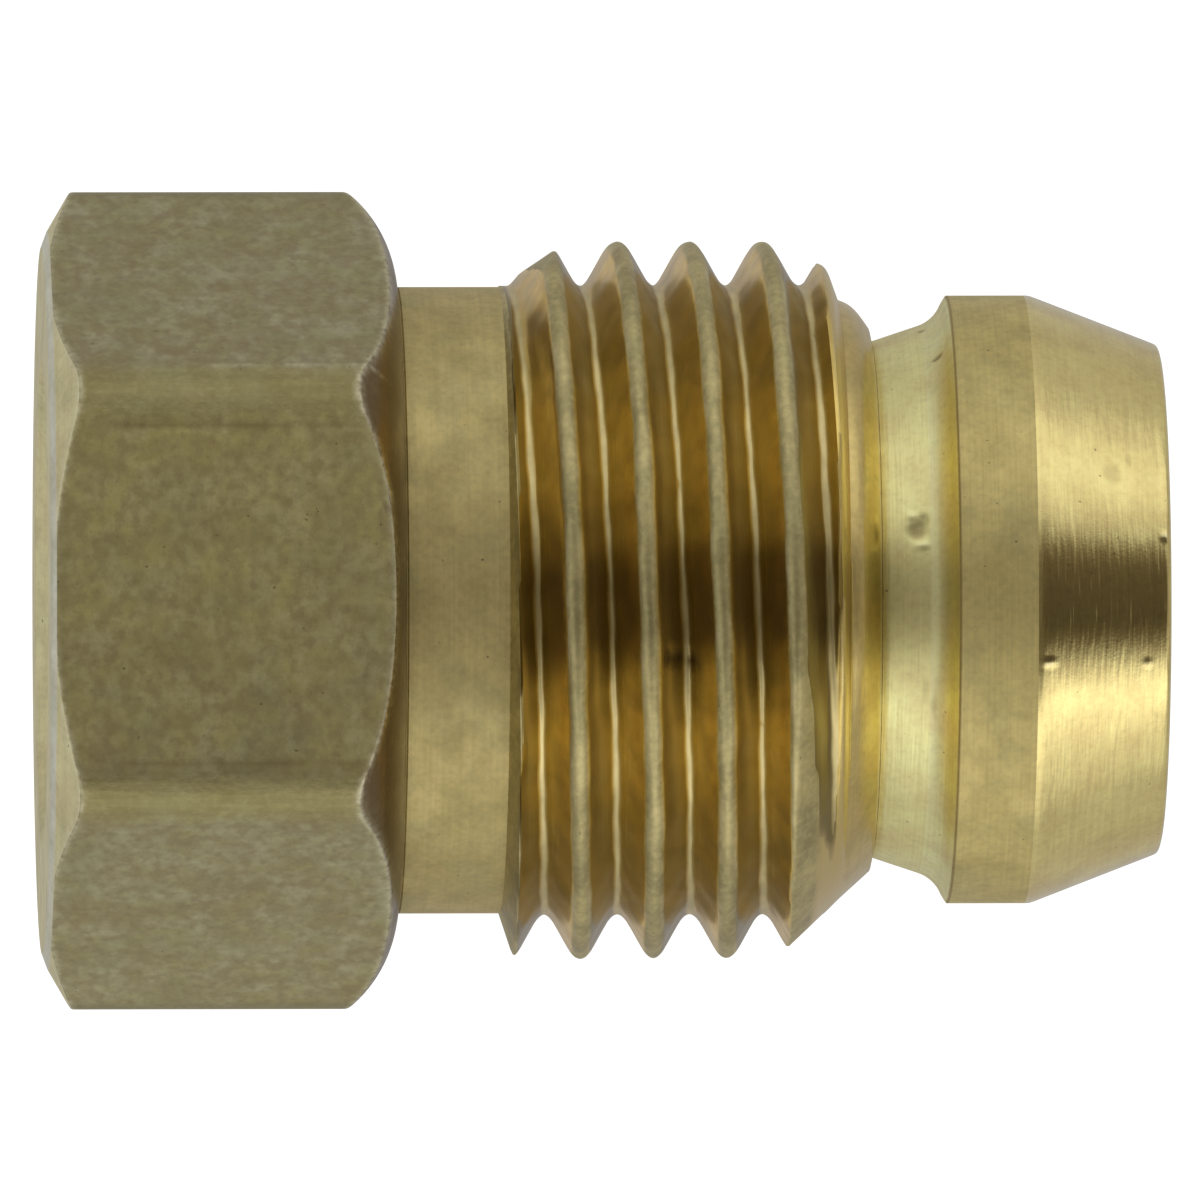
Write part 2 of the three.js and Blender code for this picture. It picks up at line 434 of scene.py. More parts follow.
def thread_rows(angles):
    """The thread, on rows of points that follow the helix, so that its crests stay sharp: its
    stations, radii and layers, and how many rows a turn has. At its two ends the rows turn
    parallel to the end."""
    phases = np.concatenate([[0.0], ROWS_TO_ROOT, [0.5], 1 - ROWS_TO_ROOT[::-1]])
    first = math.floor((THREAD_START - CREST_AT_SIDE) / PITCH) - 2
    last = math.ceil((THREAD_END - CREST_AT_SIDE) / PITCH) + 2
    turns = np.concatenate([phases + n for n in range(first, last + 1)])[None, :]
    angle = angles[:, None]
    helix = CREST_AT_SIDE + PITCH * (angle / TURN + turns)
    stations = -soft_min(-helix, np.full_like(helix, -THREAD_START), END_TURN)
    stations = soft_min(stations, np.full_like(helix, THREAD_END), END_TURN)
    ridge, offset = ridge_radius(stations, angle)
    limit = ridge_limit(stations, angle)
    radii = np.maximum(soft_min(ridge, limit, CUT_ROUNDING), core(stations))
    radii = np.where(stations <= THREAD_START, SHANK_RADIUS, radii)
    radii = np.where(stations >= THREAD_END, THREAD_END_RADIUS, radii)
    return stations, radii, thread_layers(stations, ridge, limit, offset), len(phases)


def thread_layers(stations, ridge, limit, offset):
    """Height on the ridge, where a cut surface counts as crest; the side of the ridge, from 0
    towards the nose to 1 towards the hexagon, which picks painted shade for the side towards the
    nose and painted glints for the other; and the cone that cuts the last turn down."""
    crest = np.clip((ridge - ROOT_RADIUS) / (MAJOR_RADIUS - ROOT_RADIUS), 0, 1)
    cut = np.clip((ridge - limit) / 0.04, 0, 1)
    crest = crest + (1 - crest) * cut
    cone = cut * np.clip((stations - NOSE_CUT) / 0.1, 0, 1)
    cone = np.maximum(cone, np.clip((stations - THREAD_END) / 0.08 + 1, 0, 1))
    return {"crest": crest, "shade": np.clip(0.5 - offset / 0.1, 0, 1), "cone": cone}


def ridge_radius(stations, angle):
    """Radius of the uncut thread, and how far along the axis each point is from the crest."""
    turns = (stations - CREST_AT_SIDE) / PITCH - angle / TURN
    crest_turn = np.round(turns)
    offset = (turns - crest_turn) * PITCH
    along_crest = angle / TURN + crest_turn
    uneven = np.where(offset < 0, ripple(along_crest, 1.0), ripple(along_crest, 2.7))
    half_width = CREST_HALF_WIDTH + CREST_UNEVENNESS * uneven
    height = MAJOR_RADIUS - ROOT_RADIUS
    flank = height - (np.abs(offset) - half_width) * FLANK_SLOPE
    ridge = -soft_min(-flank, np.zeros_like(flank), ROOT_ROUNDING)
    top = height - CREST_UNEVENNESS / 2 * (1 + ripple(along_crest, 4.1))
    return ROOT_RADIUS + soft_min(ridge, top, CREST_ROUNDING), offset


def core(stations):
    """The turned surface under the ridge."""
    rise = SHANK_RADIUS + (stations - THREAD_START)
    fall = THREAD_END_RADIUS + (THREAD_END - stations)
    return np.minimum(ROOT_RADIUS, np.minimum(rise, fall))


def ridge_limit(stations, angle):
    """How high the ridge may stand: it rises out of the shank on a ramp that is gentle on the +Y
    side and steep on the other, and the nose cone cuts it down, least on the +Y side."""
    side = 0.5 + 0.5 * np.cos(angle)
    gentle, steep = RUN_IN_SLOPES
    run_in = SHANK_RADIUS + (stations - THREAD_START) * (gentle + (steep - gentle) * (1 - side) ** 0.6)
    to_end = THREAD_END - stations
    cone = THREAD_END_RADIUS + to_end * NOSE_SLOPE + LAST_RIDGE_LIFT * side
    drop = THREAD_END_RADIUS + to_end * LAST_RIDGE_SLOPE
    return soft_min(run_in, soft_min(cone, drop, 0.08), 0.1)


def nose_rows(angles):
    """The nose: a straight cone on the -Y side, a fuller, rounder one on the +Y side."""
    share = np.linspace(0, 1, 14)
    start = np.array([THREAD_END, THREAD_END_RADIUS])
    corner = np.array(NOSE_CORNER)
    end = np.array([NOSE_END, NECK_RADIUS])
    cone = start * (1 - share[:, None]) + corner * share[:, None]
    lip = corner + (end - corner) * np.linspace(0, 1, 5)[1:, None]
    stations, radii = same_round(np.concatenate([cone, lip]), len(angles))
    side = 0.5 + 0.5 * np.cos(angles[:, None])
    radii[:, : len(share)] += NOSE_BULGE * side * np.sin(np.pi * share)[None, :]
    return stations, radii


def torn(stations, radii, angles):
    """Stations of the sheared web with its tears; its two rims stay even."""
    across = np.clip((NECK_RADIUS - radii) / (NECK_RADIUS - BORE_RADIUS), 0, 1)
    angle = angles[:, None]
    tear = np.sin(17 * angle + 9 * radii) + np.sin(31 * angle + 2) + np.sin(67 * angle - 14 * radii)
    return stations + TEAR_HEIGHT * (0.6 + tear / 3) * np.sin(np.pi * across)


def web_rows(angles, station):
    """The sheared web, from the neck's outside to the bore."""
    points = divided(np.array([(station, NECK_RADIUS), (station, BORE_RADIUS)]), 0.05)
    stations, radii = same_round(points, len(angles))
    return torn(stations, radii, angles), radii


def add_hexagon(skin):
    """The inner chamfer, the end face and the hexagon, up to the shank."""
    columns = len(skin.angles)
    outline = rounded([
        (BORE_CHAMFER, BORE_RADIUS, 0),
        (0, BORE_RADIUS + BORE_CHAMFER, 0.05),
        (0, FACE_RADIUS - FACE_EDGE, 0),
    ])
    skin.strip(*same_round(divided(outline, 0.2), columns), END_FACE)
    stations, radii, group, rubbed = hexagon_rows(skin.angles)
    joined = np.zeros((columns, 1))
    skin.strip(
        np.concatenate([joined, stations], axis=1),
        np.concatenate([joined + FACE_RADIUS - FACE_EDGE, radii], axis=1),
        np.concatenate([[FACE_RIM], group]),
        marks=NUT_MARKS,
        rubbed=np.concatenate([joined, rubbed], axis=1),
        corner=np.exp(-((from_corner(skin.angles) / CORNER_BAND) ** 4))[:, None],
        shade=painted_flat_light(skin.angles)[:, None],
    )


def add_shank(skin):
    """The plain shank, with the tool's groove where it leaves the shoulder, darkened with painted shade.
    """
    columns = len(skin.angles)
    groove = np.array([
        (SHANK_START, SHANK_RADIUS),
        (SHANK_START + TOOL_GROOVE, SHANK_RADIUS - TOOL_GROOVE),
        (SHANK_START + 2 * TOOL_GROOVE, SHANK_RADIUS),
    ])
    # Painted shade in the groove's crease, carried by the dirt layer.
    skin.strip(*same_round(groove, columns), SHANK, dirt=np.array([[1.0, 0.6, 0.0]]))
    shank = divided(np.array([groove[-1], (THREAD_START, SHANK_RADIUS)]), 0.12)
    skin.strip(*same_round(shank, columns), SHANK, marks=NUT_MARKS)


def nut_mesh():
    skin = Skin(nut_angles())
    add_hexagon(skin)
    add_shank(skin)
    stations, radii, layers, per_turn = thread_rows(skin.angles)
    skin.strip(stations, radii, THREAD, turn_shift=per_turn, marks=NUT_MARKS, **layers)
    skin.strip(*nose_rows(skin.angles), NOSE)
    skin.strip(*web_rows(skin.angles, NOSE_END), WEB)
    bore = divided(np.array([(NOSE_END, BORE_RADIUS), (BORE_CHAMFER, BORE_RADIUS)]), 1.6)
    skin.strip(*same_round(bore, len(skin.angles)), BORE)
    return skin.mesh("nut_body")


def tail_outlines(start):
    """The tail's cone, and the hollow fillet that sweeps up from it to the collar."""
    end_radius = NECK_RADIUS + (TAIL_END - start) * math.tan(TAIL_SLOPE)
    tail = [(start, NECK_RADIUS, 0), (TAIL_END, end_radius, 0)]
    fillet = []
    for slope in np.linspace(TAIL_SLOPE, FILLET_SLOPE, 9):
        station = TAIL_END + FILLET_RADIUS * (math.sin(slope) - math.sin(TAIL_SLOPE))
        radius = end_radius + FILLET_RADIUS * (math.cos(TAIL_SLOPE) - math.cos(slope))
        fillet.append((station, radius, 0))
    fillet.append((COLLAR_START, COLLAR_RADIUS - COLLAR_CORNER, 0))
    return tail, fillet


def sleeve_outlines(start):
    """The sleeve's outside from the neck to the bore's front edge, a group and an outline each."""
    tail, fillet = tail_outlines(start)
    collar = [
        (COLLAR_START + 2 * CORNER_STRIP, COLLAR_RADIUS, 0),
        (COLLAR_END - EDGE_ROUNDING, COLLAR_RADIUS, 0),
    ]
    cone = [
        (COLLAR_END - EDGE_ROUNDING, COLLAR_RADIUS, 0),
        (COLLAR_END, COLLAR_RADIUS, EDGE_ROUNDING),
        (TOTAL_LENGTH - TIP_EDGE, TIP_RADIUS, 0.08),
        (TOTAL_LENGTH, TIP_RADIUS - TIP_CHAMFER, 0),
    ]
    rim = [
        (TOTAL_LENGTH, TIP_RADIUS - TIP_CHAMFER, 0),
        (TOTAL_LENGTH, BORE_RADIUS + TIP_CHAMFER, 0),
        (TOTAL_LENGTH - TIP_CHAMFER, BORE_RADIUS, 0),
    ]
    return [(TAIL, tail), (FILLET, fillet), (COLLAR, collar), (CONE, cone), (RIM, rim)]


def sleeve_mesh():
    start = NOSE_END + BREAK_GAP
    angles = np.arange(SLEEVE_COLUMNS) / SLEEVE_COLUMNS * TURN
    skin = Skin(angles)
    stations, radii = web_rows(angles, start)
    skin.strip(stations[:, ::-1], radii[:, ::-1], SLEEVE_WEB)
    for group, outline in sleeve_outlines(start):
        points = divided(rounded(outline), 0.055)
        marks = () if group == RIM else SLEEVE_MARKS
        skin.strip(*same_round(points, SLEEVE_COLUMNS), group, marks=marks)
    # Painted shade: a dark line in the inner corner where the fillet meets the collar, carried by the
    # dirt layer.
    corner = np.array([
        (COLLAR_START, COLLAR_RADIUS - COLLAR_CORNER),
        (COLLAR_START + CORNER_STRIP, COLLAR_RADIUS),
        (COLLAR_START + 2 * CORNER_STRIP, COLLAR_RADIUS),
    ])
    skin.strip(*same_round(corner, SLEEVE_COLUMNS), COLLAR, dirt=np.array([[1.0, 1.0, 0.0]]))
    inside = np.array([(TOTAL_LENGTH - TIP_CHAMFER, BORE_RADIUS), (start, BORE_RADIUS)])
    skin.strip(*same_round(divided(inside, 1.0), SLEEVE_COLUMNS), SLEEVE_BORE)
    return skin.mesh("sleeve_body")


class Tree:
    """A node tree, with one short method for each kind of node used here."""

    def __init__(self, owner):
        owner.use_nodes = True
        self.nodes = owner.node_tree.nodes
        self.links = owner.node_tree.links
        self.nodes.clear()

    def node(self, kind, **settings):
        made = self.nodes.new(kind)
        for key, value in settings.items():
            setattr(made, key, value)
        return made

    def put(self, socket, value):
        if isinstance(value, bpy.types.NodeSocket):
            self.links.new(value, socket)
        else:
            socket.default_value = value

    def coordinates(self, kind):
        return self.node("ShaderNodeTexCoord").outputs[kind]

    def math(self, operation, a, b=0.0):
        made = self.node("ShaderNodeMath", operation=operation)
        self.put(made.inputs[0], a)
        self.put(made.inputs[1], b)
        return made.outputs[0]

    def noise(self, along, across, detail=3.0, shift=0.0):
        """Noise with a grain of along and across millimetres, to the axis and round it."""
        place = self.node("ShaderNodeMapping", vector_type="POINT")
        self.put(place.inputs["Vector"], self.coordinates("Object"))
        place.inputs["Location"].default_value = (shift, shift, shift - AXIS_Z / MM / across)
        place.inputs["Scale"].default_value = (1 / MM / along, 1 / MM / across, 1 / MM / across)
        made = self.node("ShaderNodeTexNoise", noise_dimensions="3D")
        self.put(made.inputs["Vector"], place.outputs["Vector"])
        made.inputs["Scale"].default_value = 1.0
        made.inputs["Detail"].default_value = detail
        made.inputs["Roughness"].default_value = 0.55
        return made.outputs["Fac"]

    def ramp(self, value, low, high, start=0.0, end=1.0):
        made = self.node("ShaderNodeMapRange", clamp=True)
        self.put(made.inputs["Value"], value)
        made.inputs["From Min"].default_value = low
        made.inputs["From Max"].default_value = high
        made.inputs["To Min"].default_value = start
        made.inputs["To Max"].default_value = end
        return made.outputs["Result"]

    def blend(self, share, a, b):
        made = self.node("ShaderNodeMix", data_type="RGBA")
        self.put(made.inputs["Factor"], share)
        self.put(made.inputs["A"], a)
        self.put(made.inputs["B"], b)
        return made.outputs["Result"]

    def attribute(self, name):
        return self.node("ShaderNodeAttribute", attribute_name=name).outputs["Fac"]

    def bump(self, height, distance, normal=None):
        made = self.node("ShaderNodeBump")
        self.put(made.inputs["Height"], height)
        made.inputs["Distance"].default_value = distance * MM
        if normal is not None:
            self.put(made.inputs["Normal"], normal)
        return made.outputs["Normal"]

    def metal(self, tint, roughness, normal, haze=0.0):
        """Metal with an optional haze of fine dust or oxide, seen most at grazing angles."""
        shader = self.node("ShaderNodeBsdfPrincipled")
        shader.inputs["Metallic"].default_value = 1.0
        shader.inputs["Sheen Weight"].default_value = haze
        shader.inputs["Sheen Roughness"].default_value = 0.4
        self.put(shader.inputs["Base Color"], tint)
        self.put(shader.inputs["Roughness"], roughness)
        self.put(shader.inputs["Normal"], normal)
        output = self.node("ShaderNodeOutputMaterial")
        self.links.new(shader.outputs["BSDF"], output.inputs["Surface"])


def colour(red, green, blue):
    return (red, green, blue, 1.0)


def lighter(tone, factor):
    return colour(*(min(channel * factor, 1.0) for channel in tone[:3]))


# Tones that several surfaces share. The dirt tone also paints shade into the shank's groove and
# the collar's inner corner, and the rubbed tone also paints highlights along the ends of the flats
# and the edges of the crests.
TARNISH = colour(0.40, 0.40, 0.20)
DIRT_AND_SHADE = colour(0.26, 0.18, 0.07)
PIT = colour(0.14, 0.10, 0.05)
RUBBED_AND_HIGHLIGHT = colour(0.93, 0.88, 0.62)
TORN_DARK = colour(0.60, 0.45, 0.18)
TORN_LIGHT = colour(0.85, 0.70, 0.36)

# Tones of the patches on the drawn bar and on the thread's flanks; the golden one is the tone of
# the flanks' painted glints.
BAR_BROWN = colour(0.34, 0.25, 0.13)
BAR_PALE = colour(0.95, 0.90, 0.60)
FLANK_OLIVE = colour(0.34, 0.27, 0.08)
FLANK_GLINT = colour(1.0, 0.70, 0.25)


def wear_and_painted_light(tree, tint, light, tarnish=0.2, specks=0.22):
    """Adds what handling leaves on any brass: tarnished patches, light and dark specks, pits, and
    dirt or rubbed metal where the mesh asks for it; the same layers also lay painted shade and
    painted highlights where the mesh asks for them."""
    patches = tree.noise(1.1, 1.1, detail=5.0, shift=3.0)
    speckle = tree.noise(0.12, 0.12, detail=3.0)
    pits = tree.noise(0.11, 0.11, detail=1.0, shift=7.0)
    tint = tree.blend(tree.ramp(patches, 0.48, 0.68, 0.0, tarnish), tint, TARNISH)
    tint = tree.blend(tree.ramp(speckle, 0.5, 0.75, 0.0, specks), tint, lighter(light, 1.15))
    tint = tree.blend(tree.ramp(speckle, 0.5, 0.25, 0.0, specks), tint, lighter(light, 0.45))
    tint = tree.blend(tree.math("MULTIPLY", tree.attribute("dirt"), 0.7), tint, DIRT_AND_SHADE)
    rubbed = tree.math("MULTIPLY", tree.attribute("rubbed"), tree.ramp(speckle, 0.35, 0.6, 0.15, 0.5))
    tint = tree.blend(rubbed, tint, RUBBED_AND_HIGHLIGHT)
    return tree.blend(tree.ramp(pits, 0.77, 0.81, 0.0, 0.6), tint, PIT)


def turned_brass(name, tone, roughness, lines=0.04, depth=0.003, comb=0.0, tarnish=0.3, haze=0.0):
    """Turned metal: fine lines round the axis, each a little broken, over a faint mottle."""
    material = bpy.data.materials.new(name)
    tree = Tree(material)
    fine = tree.noise(lines, 6.0, detail=2.0)
    broken = tree.noise(lines * 1.3, 0.7, detail=1.0)
    broad = tree.noise(lines * 7, 10.0, detail=2.0)
    mottle = tree.noise(0.8, 0.8, detail=4.0)
    grain = tree.noise(0.05, 0.05, detail=2.0)
    light = lighter(tone, 1.12)
    tint = tree.blend(tree.ramp(mottle, 0.32, 0.68), lighter(tone, 0.88), light)
    tint = tree.blend(tree.ramp(fine, 0.4, 0.68, 0.0, 0.28), tint, lighter(tone, 0.72))
    tint = wear_and_painted_light(tree, tint, light, tarnish)
    rough = tree.ramp(mottle, 0.3, 0.7, roughness + 0.04, roughness - 0.04)
    normal = tree.bump(fine, depth)
    normal = tree.bump(broken, comb, normal)
    normal = tree.bump(broad, depth * 2, normal)
    normal = tree.bump(grain, depth * 0.4, normal)
    tree.metal(tint, rough, normal, haze)
    return material


def drawn_brass(name, bright, dull, corner_tone, roughness, haze):
    """Drawn bar: painted light and shade that differ from flat to flat, a soft mottle of olive and
    brown with faint lengthwise streaks, duller corners with a few scratches, and a thin painted
    highlight along the edges."""
    material = bpy.data.materials.new(name)
    tree = Tree(material)
    corner = tree.attribute("corner")
    streaks = tree.noise(4.0, 0.16, detail=3.0)
    scratches = tree.noise(1.6, 0.10, detail=4.0, shift=5.0)
    mottle = tree.noise(0.55, 0.6, detail=5.0)
    fog = tree.noise(0.22, 0.26, detail=4.0, shift=1.0)
    blush = tree.noise(1.3, 0.7, detail=3.0, shift=9.0)
    grain = tree.noise(0.10, 0.10, detail=3.0)
    # Painted light and shade: each flat mixes the lit tone, bright, and the shaded tone, dull.
    tint = tree.blend(tree.attribute("shade"), bright, dull)
    olive = tree.blend(0.35, tint, lighter(bright, 0.75))
    brown = tree.blend(0.6, tint, BAR_BROWN)
    light = tree.blend(0.3, tint, BAR_PALE)
    tint = tree.blend(tree.ramp(mottle, 0.38, 0.62, 0.0, 0.9), light, olive)
    tint = tree.blend(tree.ramp(blush, 0.45, 0.65, 0.0, 0.45), tint, brown)
    tint = tree.blend(tree.ramp(streaks, 0.42, 0.66, 0.0, 0.14), tint, brown)
    tint = tree.blend(tree.ramp(fog, 0.38, 0.62, 0.0, 0.7), tint, brown)
    scratched = tree.ramp(scratches, 0.3, 0.7)
    band = tree.blend(scratched, lighter(corner_tone, 0.9), lighter(corner_tone, 1.1))
    tint = tree.blend(tree.math("MULTIPLY", corner, 0.9), tint, band)
    tint = wear_and_painted_light(tree, tint, lighter(dull, 1.4), tarnish=0.25, specks=0.2)
    rough = tree.ramp(mottle, 0.3, 0.7, roughness - 0.04, roughness + 0.04)
    normal = tree.bump(streaks, 0.002)
    normal = tree.bump(tree.math("MULTIPLY", scratches, corner), 0.003, normal)
    normal = tree.bump(fog, 0.008, normal)
    normal = tree.bump(grain, 0.006, normal)
    tree.metal(tint, rough, normal, haze)
    return material


def flank_tint(tree, height, mottle, leading_tone, trailing_tone, root_tone):
    """Brown flanks with painted light: painted shade on the side that faces the nose, painted golden
    glints in patches on the side that faces the hexagon, a painted highlight along the roots, and
    how far each point is down in the root."""
    patches = tree.noise(0.6, 0.6, detail=3.0, shift=6.0)
    glint_flecks = tree.noise(0.45, 0.6, detail=4.0, shift=11.0)
    # Painted glints: golden patches, strongest near the crest, and golden flecks.
    golden = tree.ramp(patches, 0.32, 0.58, 0.4, 1.0)
    golden = tree.math("MULTIPLY", golden, tree.ramp(height, 0.05, 0.55, 0.35, 1.0))
    flank = tree.blend(golden, lighter(leading_tone, 0.55), leading_tone)
    flank = tree.blend(tree.ramp(glint_flecks, 0.52, 0.72, 0.0, 0.35), flank, FLANK_GLINT)
    # Painted shade on the side of the ridge that faces the nose.
    flank = tree.blend(tree.attribute("shade"), trailing_tone, flank)
    flank = tree.blend(tree.ramp(mottle, 0.48, 0.65, 0.0, 0.3), flank, FLANK_OLIVE)
    # Painted highlight: the roots are lighter.
    root = tree.blend(tree.ramp(mottle, 0.3, 0.7), lighter(root_tone, 0.6), root_tone)
    low = tree.ramp(height, 0.05, 0.005)
    return tree.blend(low, flank, root), low


def crest_tint(tree, mottle, tone):
    """Dull crests, mottled and worn."""
    tint = tree.blend(tree.ramp(mottle, 0.35, 0.65), lighter(tone, 0.8), lighter(tone, 1.2))
    return wear_and_painted_light(tree, tint, lighter(tone, 1.35), tarnish=0.2, specks=0.35)


def thread_brass(name, crest_tone, leading_tone, trailing_tone, root_tone, nose_tone):
    """Thread: smooth flanks and roots with painted shade, glints and highlights, dull crests with a
    broken painted highlight along their edges, and the golden cone that cuts the last turn down."""
    material = bpy.data.materials.new(name)
    tree = Tree(material)
    height = tree.attribute("crest")
    cone = tree.attribute("cone")
    mottle = tree.noise(0.5, 0.9, detail=4.0)
    tint, low = flank_tint(tree, height, mottle, leading_tone, trailing_tone, root_tone)
    top = tree.ramp(height, 0.8, 0.88)
    tint = tree.blend(top, tint, crest_tint(tree, mottle, crest_tone))
    # A broken painted highlight along the edges of the crests.
    edge = tree.math("MULTIPLY", top, tree.ramp(height, 0.95, 0.86))
    edge = tree.math("MULTIPLY", edge, tree.ramp(mottle, 0.45, 0.65, 0.0, 0.35))
    tint = tree.blend(edge, tint, RUBBED_AND_HIGHLIGHT)
    tint = tree.blend(tree.attribute("dirt"), tint, DIRT_AND_SHADE)
    tint = tree.blend(cone, tint, nose_tone)
    rough = tree.ramp(tree.math("SUBTRACT", top, cone), 0.0, 1.0, 0.24, 0.46)
    rough = tree.math("ADD", rough, tree.math("MULTIPLY", low, 0.08))
    cut = tree.noise(0.05, 2.0, detail=2.0)
    chatter = tree.noise(0.4, 0.14, detail=2.0, shift=2.0)
    grain = tree.noise(0.12, 0.12, detail=3.0)
    normal = tree.bump(cut, 0.002)
    normal = tree.bump(chatter, 0.0015, normal)
    normal = tree.bump(tree.math("MULTIPLY", grain, top), 0.004, normal)
    tree.metal(tint, rough, normal, haze=0.04)
    return material


def torn_brass(name):
    """The sheared web: torn, grainy metal."""
    material = bpy.data.materials.new(name)
    tree = Tree(material)
    tear = tree.noise(0.06, 0.12, detail=5.0)
    tint = tree.blend(tree.ramp(tear, 0.35, 0.65), TORN_DARK, TORN_LIGHT)
    tree.metal(tint, tree.ramp(tear, 0.3, 0.7, 0.35, 0.6), tree.bump(tear, 0.04))
    return material


def dress(mesh, materials, sharp_degrees):
    """Gives a mesh its materials in the order of its face groups, and smooth shading."""
    for material in materials:
        mesh.materials.append(material)
    mesh.shade_smooth()
    mesh.set_sharp_from_angle(angle=math.radians(sharp_degrees))


def add_piece(name, mesh, body, node):
    """A mesh in the scene that moves with a body and stands in for a node of the frame."""
    piece = bpy.data.objects.new(name, mesh)
    bpy.context.scene.collection.objects.link(piece)
    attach(piece, body)
    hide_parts(node)


def make_nut():
    mesh = nut_mesh()
    turned = colour(0.63, 0.52, 0.225)
    golden = colour(0.74, 0.57, 0.21)
    materials = [
        drawn_brass(
            "bar_brass",
            # bright and dull are the lit and the shaded tone of the flats' painted light and shade.
            bright=colour(0.75, 0.66, 0.25),
            dull=colour(0.34, 0.31, 0.16),
            corner_tone=colour(0.31, 0.265, 0.11),
            roughness=0.5,
            haze=0.06,
        ),
        turned_brass("end_face_brass", colour(0.94, 0.83, 0.46), 0.42),
        # The rim between end face and chamfer is near white: a painted highlight.
        turned_brass("face_rim_brass", colour(0.94, 0.91, 0.72), 0.5),
        # The shoulder's very dark tone is painted shade in the recess between hexagon and shank.
        turned_brass("shoulder_brass", colour(0.22, 0.155, 0.075), 0.3, tarnish=0.1),
        turned_brass("shank_brass", turned, 0.6, lines=0.07, comb=0.002, haze=0.06),
        thread_brass(
            "thread_brass",
            crest_tone=colour(0.54, 0.46, 0.21),
            # The flank and root tones hold painted light: the leading tone is a painted golden glint,
            # the trailing tone painted shade, the root tone a painted highlight.
            leading_tone=colour(1.0, 0.71, 0.19),
            trailing_tone=colour(0.28, 0.21, 0.07),
            root_tone=colour(0.84, 0.69, 0.31),
            nose_tone=golden,
        ),
        turned_brass("nose_brass", golden, 0.22, comb=0.004, lines=0.08),
        torn_brass("torn_brass"),
        turned_brass("bore_brass", turned, 0.3),
    ]
    dress(mesh, materials, 40)
    add_piece("nut_body", mesh, "nut", "nut")


def make_sleeve():
    mesh = sleeve_mesh()
    turned = colour(0.70, 0.58, 0.235)
    materials = [
        turned_brass("tail_brass", colour(0.99, 0.86, 0.39), 0.38, comb=0.004, tarnish=0.1),
        turned_brass("fillet_brass", colour(0.99, 0.88, 0.44), 0.42, tarnish=0.1),
        turned_brass("collar_brass", turned, 0.58, comb=0.002, haze=0.04),
        turned_brass("cone_brass", colour(0.96, 0.76, 0.305), 0.13, lines=0.06, comb=0.010, tarnish=0.1),
        turned_brass("rim_brass", turned, 0.35),
        torn_brass("torn_sleeve_brass"),
        turned_brass("sleeve_bore_brass", turned, 0.3),
    ]
    dress(mesh, materials, 35)
    add_piece("sleeve_body", mesh, "sleeve", "break_off_sleeve")


def make_camera():
    """Almost overhead, leaning a little towards the hexagon's end and the -Y side, with a long
    lens."""
    distance = 0.661
    lean = math.radians(2.35)
    tilt = math.radians(1.0)
    roll = math.radians(0.13)
    width_seen = 20.88 * MM
    sensor = 36
    target = Vector((END_FACE_X + TOTAL_LENGTH / 2 * MM, 0, AXIS_Z))
    data = bpy.data.cameras.new("camera")
    data.sensor_width = sensor
    data.lens = sensor * distance / width_seen
    data.clip_end = 10
    camera = bpy.data.objects.new("camera", data)
    bpy.context.scene.collection.objects.link(camera)
    turn = Matrix.Rotation(-lean, 4, "Y") @ Matrix.Rotation(tilt, 4, "X")
    turn = turn @ Matrix.Rotation(-roll, 4, "Z")
    camera.matrix_world = Matrix.Translation(target) @ turn @ Matrix.Translation((0, 0, distance))
    bpy.context.scene.camera = camera


def make_floor():
    """A white table top just under the part, which the brass doesn't mirror."""
    half = 1.0
    gap = 1e-5
    z = cad_box[0][2] - gap
    corners = [(-half, -half, z), (half, -half, z), (half, half, z), (-half, half, z)]
    mesh = bpy.data.meshes.new("floor")
    mesh.from_pydata(corners, [], [(0, 1, 2, 3)])
    floor = bpy.data.objects.new("floor", mesh)
    bpy.context.scene.collection.objects.link(floor)
    floor.visible_glossy = False
    material = bpy.data.materials.new("floor_paint")
    tree = Tree(material)
    shader = tree.node("ShaderNodeBsdfPrincipled")
    shader.inputs["Base Color"].default_value = colour(0.3, 0.3, 0.3)
    shader.inputs["Roughness"].default_value = 0.9
    shader.inputs["Specular IOR Level"].default_value = 0.0
    shader.inputs["Emission Color"].default_value = colour(1, 1, 1)
    shader.inputs["Emission Strength"].default_value = 1.0
    output = tree.node("ShaderNodeOutputMaterial")
    tree.links.new(shader.outputs["BSDF"], output.inputs["Surface"])
    mesh.materials.append(material)


# Brightness of the surround, by degrees round the tube axis from straight up, +Y side positive.
SURROUND = [
    (-180, 0.42), (-128, 0.44), (-110, 0.48), (-98, 0.52), (-74, 0.84), (-60, 1.12), (-50, 1.36),
    (-41, 1.10), (-32, 0.54), (-22, 0.13), (-13, 0.07), (0, 0.085), (15, 0.10), (23, 0.17),
    (33, 0.54), (43, 0.74), (56, 0.92), (75, 0.86), (98, 0.52), (128, 0.44), (180, 0.42),
]
BRIGHTEST = 1.4
HEXAGON_END_LEVEL = 0.5
SLEEVE_END_LEVEL = 0.36

# Over the nut the panels stand a little further round, behind a faint veil of light; low over the
# hexagon's end the dark strip between them is narrower.
PANEL_TURN = math.radians(5)
VEIL = 0.05
NARROWING = 1.2


def surround_tone(level):
    """The dark parts of the surround are warm, the bright ones slightly cool."""
    warm = max(0.0, 1 - level / 0.5)
    level = level / BRIGHTEST
    return colour(level, level * (1 - 0.2 * warm), level * (1.04 - 0.45 * warm))


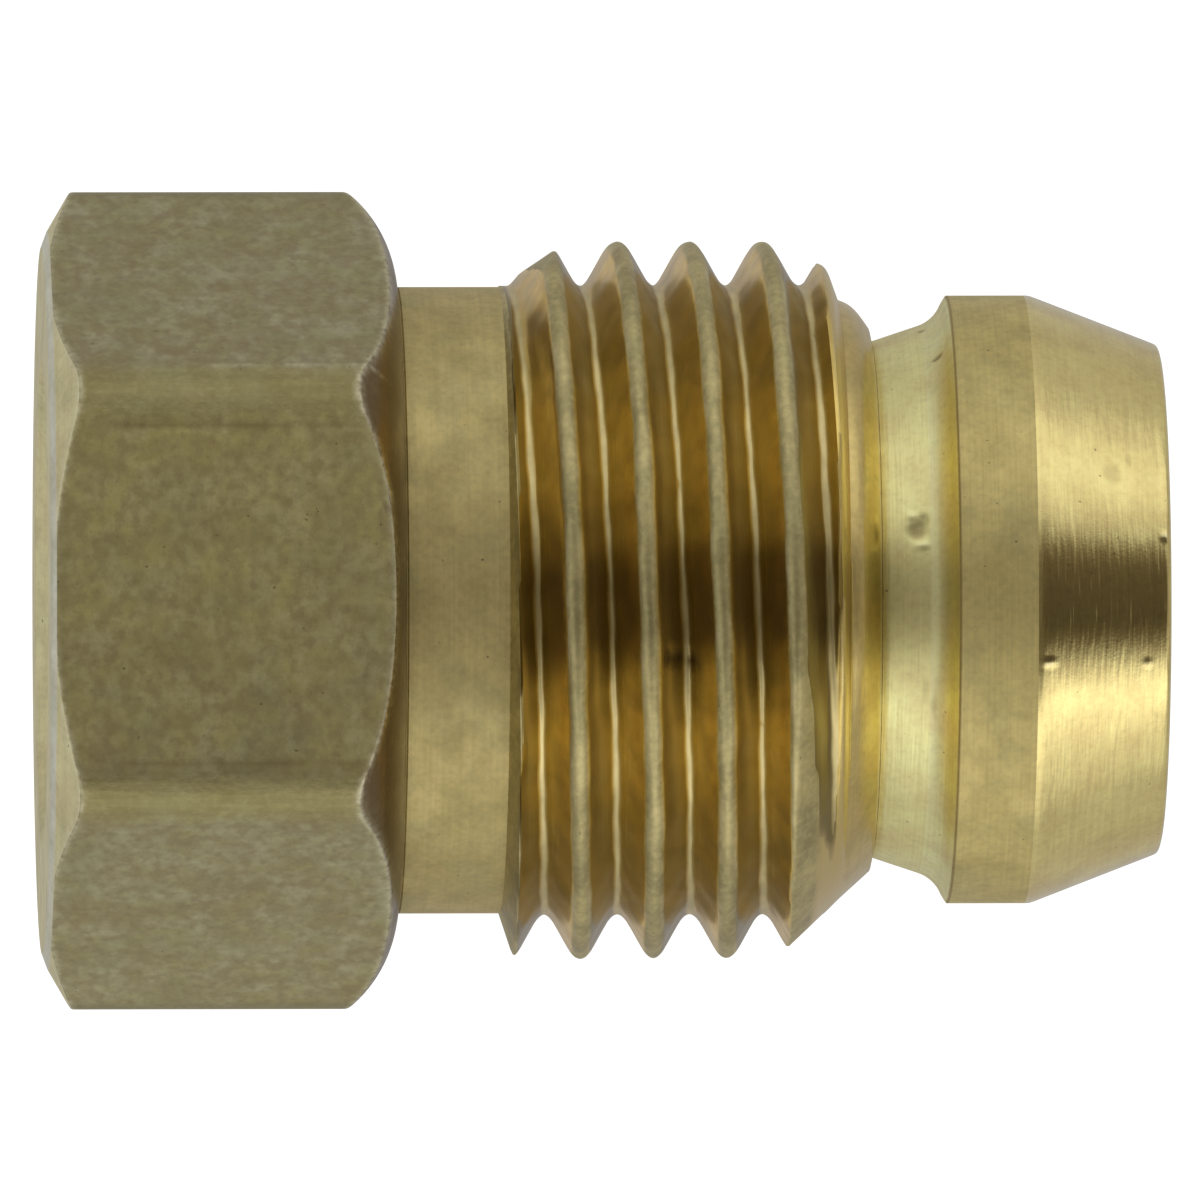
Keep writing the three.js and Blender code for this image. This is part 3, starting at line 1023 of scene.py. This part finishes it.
def surround_colour(tree, direction, before_cone):
    """Tone of the surround by the angle round the axis, read from SURROUND."""
    along = direction["X"]
    turned = tree.math("MULTIPLY", before_cone, tree.ramp(along, -0.6, -0.3, 0.0, PANEL_TURN))
    angle = tree.math("ARCTAN2", direction["Y"], direction["Z"])
    angle = tree.math("MULTIPLY", angle, tree.ramp(along, -0.3, -0.6, 1.0, NARROWING))
    angle = tree.math("ADD", angle, turned)
    share = tree.math("ADD", tree.math("DIVIDE", angle, TURN), 0.5)
    ramp = tree.node("ShaderNodeValToRGB")
    tree.put(ramp.inputs["Fac"], share)
    stops = ramp.color_ramp.elements
    while len(stops) < len(SURROUND):
        stops.new(0.5)
    for stop, (degrees, level) in zip(stops, SURROUND):
        stop.position = degrees / 360 + 0.5
        stop.color = surround_tone(level)
    return ramp.outputs["Color"]


def make_world():
    """Soft surround: a long bright panel on each side, dark overhead, even below and at the ends.
    The camera sees plain white."""
    world = bpy.data.worlds.new("studio")
    bpy.context.scene.world = world
    tree = Tree(world)
    white = lighter(colour(1, 1, 1), 1 / BRIGHTEST)
    split = tree.node("ShaderNodeSeparateXYZ")
    tree.put(split.inputs[0], tree.coordinates("Generated"))
    along = split.outputs["X"]
    before_cone = tree.ramp(along, 0.5, 0.1)
    light = surround_colour(tree, split.outputs, before_cone)
    light = tree.blend(tree.math("MULTIPLY", before_cone, VEIL), light, white)
    to_hexagon = tree.ramp(along, -0.55, -1.0)
    light = tree.blend(to_hexagon, light, surround_tone(HEXAGON_END_LEVEL))
    to_sleeve = tree.ramp(along, 0.8, 1.0)
    light = tree.blend(to_sleeve, light, surround_tone(SLEEVE_END_LEVEL))
    seen = tree.node("ShaderNodeLightPath").outputs["Is Camera Ray"]
    background = tree.node("ShaderNodeBackground")
    background.inputs["Strength"].default_value = BRIGHTEST
    tree.put(background.inputs["Color"], tree.blend(seen, light, white))
    output = tree.node("ShaderNodeOutputWorld")
    tree.links.new(background.outputs[0], output.inputs["Surface"])


make_camera()
make_world()
make_floor()
make_nut()
make_sleeve()
bpy.context.scene.view_settings.view_transform = "Standard"
